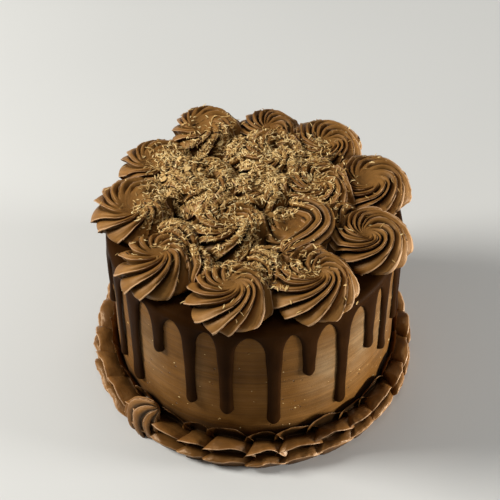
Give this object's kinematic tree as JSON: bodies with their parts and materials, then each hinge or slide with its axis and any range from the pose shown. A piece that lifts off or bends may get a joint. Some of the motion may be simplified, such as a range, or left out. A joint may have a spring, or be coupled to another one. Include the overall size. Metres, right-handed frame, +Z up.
{
  "type": "chocolate cake",
  "caption": "Tall round chocolate cake with smooth frosted sides, dark ganache drips, piped rosettes on top under grated chocolate, and a piped shell border at the foot.",
  "frame": {"origin": "centre of the cake's flat base, on the surface it stands on", "axes": "+Z up through the middle of the cake, -Y towards the side the picture shows from the front, +X to that side's right"},
  "size_m": [0.1882, 0.1882, 0.1278],
  "materials": {
    "buttercream": "smooth satin chocolate buttercream with fine scraper streaks",
    "ganache": "set dark chocolate ganache, satin gloss",
    "rosette_cream": "piped chocolate buttercream, satin",
    "border_cream": "piped chocolate buttercream, satin"
  },
  "bodies": {
    "root": {"cake_body": "buttercream", "ganache_drip": "ganache", "rosette_01": "rosette_cream", "rosette_02": "rosette_cream", "rosette_03": "rosette_cream", "rosette_04": "rosette_cream", "rosette_05": "rosette_cream", "rosette_06": "rosette_cream", "rosette_07": "rosette_cream", "rosette_08": "rosette_cream", "rosette_09": "rosette_cream", "rosette_10": "rosette_cream", "rosette_11": "rosette_cream", "rosette_12": "rosette_cream", "rosette_13": "rosette_cream", "rosette_14": "rosette_cream", "rosette_15": "rosette_cream", "rosette_16": "rosette_cream", "shell_01": "border_cream", "shell_02": "border_cream", "shell_03": "border_cream", "shell_04": "border_cream", "shell_05": "border_cream", "shell_06": "border_cream", "shell_07": "border_cream", "shell_08": "border_cream", "shell_09": "border_cream", "shell_10": "border_cream", "shell_11": "border_cream", "shell_12": "border_cream", "shell_13": "border_cream", "shell_14": "border_cream", "shell_15": "border_cream", "shell_16": "border_cream", "shell_17": "border_cream", "shell_18": "border_cream", "shell_19": "border_cream", "shell_20": "border_cream", "shell_21": "border_cream", "shell_22": "border_cream", "shell_23": "border_cream", "shell_24": "border_cream", "shell_25": "border_cream", "shell_26": "border_cream", "shell_27": "border_cream", "shell_28": "border_cream"}
  },
  "joints": []
}
